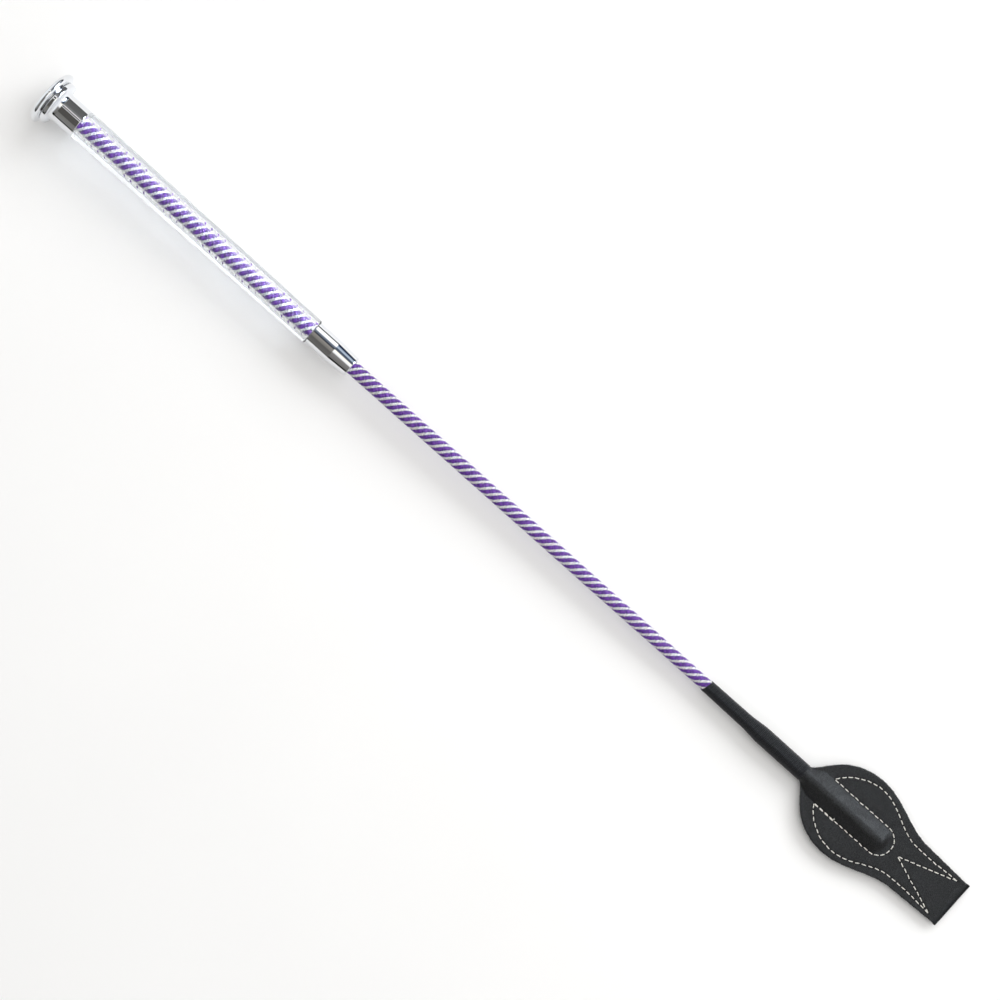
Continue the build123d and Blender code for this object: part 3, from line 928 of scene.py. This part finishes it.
build_cap()
build_sleeve()
build_ferrule()
build_braid("grip", cap_high.x - 1 * MM, ferrule_low.x + 2 * MM, 6)
build_braid("shaft", ferrule_high.x - 1.1 * MM, whip_low.x + 3 * MM, 5)
build_braid_base()
build_whipping()
build_keeper()
build_stitches("needle_stitches", 1, "needle_stitches_round", "needle_stitches_tail")
build_stitches("bobbin_stitches", -1, "bobbin_stitches_round", "bobbin_stitches_tail")
build_loose_end()
build_fuzz("edge_fuzz_round", 800, on_tail=False)
build_fuzz("edge_fuzz_tail", 340, on_tail=True)


# ---------------------------------------------------------------- floor

def build_floor():
    """A pale floor that touches the rim of the cap and the end of the keeper's ridge."""
    rim = Vector((cap_low.x + RIM_STATION * MM, 0, cap_low.z))
    ridge = Vector((keeper_start + (RIDGE_END + 0.5) * MM, 0, -leaf_high.z))
    slope = (ridge.z - rim.z) / (ridge.x - rim.x)
    half = 3.0
    corners = [(x, y, rim.z + slope * (x - rim.x)) for x, y in
               ((-half, -half), (half, -half), (half, half), (-half, half))]
    mesh = bpy.data.meshes.new("floor")
    mesh.from_pydata(corners, [], [(0, 1, 2, 3)])
    floor = bpy.data.objects.new("floor", mesh)
    bpy.context.scene.collection.objects.link(floor)
    mat, tree, shader = new_material("paper_sweep", Roughness=0.9)
    mottle = noise(tree, object_place(tree), 6.0, 2.0)
    tree.links.new(ramp(tree, mottle, [(0.3, 0.90), (0.7, 0.915)]), shader.inputs["Base Color"])
    mesh.materials.append(mat)


build_floor()


# ---------------------------------------------------------------- studio

def direction_ramp(tree, angle, stops):
    """Colour by the angle from the zenith towards +Y, in degrees."""
    share = calc(tree, "ADD", calc(tree, "MULTIPLY", angle, 1 / (2 * math.pi)), 0.5)
    return ramp(tree, share, [((degrees + 180) / 360, colour) for degrees, colour in stops])


def build_world():
    """A pale studio, dimmer towards -Y. Only shiny surfaces see its dark flats and bright strips."""
    world = bpy.data.worlds.new("studio")
    bpy.context.scene.world = world
    world.use_nodes = True
    tree = world.node_tree
    direction = node(tree, "SeparateXYZ", {0: node(tree, "TexCoord").outputs["Generated"]})
    x, y, z = direction.outputs
    angle = calc(tree, "ARCTAN2", y, z)
    pale = (1.0, 1.02, 1.05)
    navy = (0.05, 0.07, 0.13)
    collar_view = direction_ramp(tree, angle, [
        (-180, pale), (-91, pale), (-88.5, 0.008), (-80, 0.012), (-78.5, (0.24, 0.24, 0.23)),
        (-43, (0.20, 0.195, 0.18)), (-40, (0.095, 0.09, 0.085)), (2, (0.10, 0.095, 0.09)), (3.8, 0.12),
        (4.4, 1.5), (6.2, 1.2), (7.4, 0.1), (9.6, 0.006), (12.6, 0.006), (13.4, 0.3), (16.4, 0.3),
        (17.0, 1.8), (18.6, 1.6), (19.4, 0.36), (26, 0.26), (38, 0.15), (84, 0.13), (86.5, 0.008),
        (89, 0.008), (90.5, pale), (180, pale),
    ])
    ferrule_view = direction_ramp(tree, angle, [
        (-180, pale), (-90, pale), (-88, 0.01), (-85, 0.01), (-83, (0.16, 0.155, 0.145)),
        (-30, (0.13, 0.125, 0.12)), (-22, (0.22, 0.21, 0.19)), (6, (0.34, 0.32, 0.29)),
        (11, (0.05, 0.05, 0.06)), (22, (0.07, 0.08, 0.10)), (25, (0.18, 0.22, 0.28)),
        (38, (0.24, 0.28, 0.34)), (41, 1.3), (74, 1.4), (78, 0.02), (88, 0.01), (90, pale), (180, pale),
    ])
    cone_view = direction_ramp(tree, angle, [
        (-180, pale), (-92, pale), (-89, 0.006), (-73, 0.006), (-70, (0.19, 0.185, 0.175)),
        (-20, (0.26, 0.25, 0.24)), (-10, 1.1), (14, (1.4, 1.35, 1.2)), (20, (0.12, 0.14, 0.17)),
        (40, (0.08, 0.11, 0.17)), (45, (0.55, 0.65, 0.78)), (60, (0.5, 0.6, 0.72)), (66, navy),
        (76, navy), (80, 0.01), (88, 0.01), (90, pale), (180, pale),
    ])
    past_collar = map_range(tree, x, -0.16, -0.13)
    past_ferrule = map_range(tree, x, -0.03, -0.01)
    flats = mix_colour(tree, past_collar, collar_view, ferrule_view)
    flats = mix_colour(tree, past_ferrule, flats, cone_view)
    end_on = map_range(tree, calc(tree, "ABSOLUTE", x), 0.45, 0.8)
    reflected = mix_colour(tree, end_on, flats, (*pale, 1))
    mirrored = node(tree, "LightPath").outputs["Is Glossy Ray"]
    facing = map_range(tree, y, -0.9, 0.4)
    daylight = ramp(tree, facing, [(0.0, (0.30, 0.296, 0.29)), (1.0, (0.82, 0.81, 0.79))])
    seen = mix_colour(tree, mirrored, daylight, reflected)
    background = tree.nodes["Background"]
    tree.links.new(seen, background.inputs["Color"])


def add_area(name, place, target, size, power, colour, lights_matt, mirrored):
    """A soft panel light, which may light matt surfaces, be mirrored in shiny ones, or both."""
    lamp = bpy.data.lights.new(name, "AREA")
    lamp.shape = "RECTANGLE"
    lamp.size, lamp.size_y = size
    lamp.energy = power
    lamp.color = colour
    panel = bpy.data.objects.new(name, lamp)
    panel.location = place
    panel.rotation_euler = (Vector(target) - Vector(place)).to_track_quat("-Z", "Y").to_euler()
    panel.visible_diffuse = lights_matt
    panel.visible_glossy = mirrored
    bpy.context.scene.collection.objects.link(panel)


def add_lights():
    """Two panels light the matt surfaces. A third is only mirrored, mostly in the keeper's leather."""
    beside = (0.42, 0, 0)
    cool, neutral, blue = (0.97, 0.985, 1.0), (1.0, 0.99, 0.98), (0.86, 0.93, 1.0)
    add_area("key_panel", (0.42, 1.43, 0.91), beside, (1.75, 0.97), 21.0, cool, True, False)
    add_area("top_panel", (0.2, 0.5, 1.9), (0, 0, 0), (1.6, 1.2), 10.5, neutral, True, False)
    add_area("keeper_panel", (0.75, 1.30, 0.95), beside, (1.0, 0.7), 52.0, blue, False, True)


def add_camera():
    """A long lens that looks straight down on the crop, which lies from upper left to lower right."""
    camera_data = bpy.data.cameras.new("camera")
    camera_data.lens = 100
    camera_data.clip_end = 50
    camera = bpy.data.objects.new("camera", camera_data)
    camera.rotation_euler = (0, 0, math.radians(41.9))
    camera.location = (0, 0, 1.486)
    bpy.context.scene.collection.objects.link(camera)
    bpy.context.scene.camera = camera


build_world()
add_lights()
add_camera()
bpy.context.scene.view_settings.view_transform = "Standard"
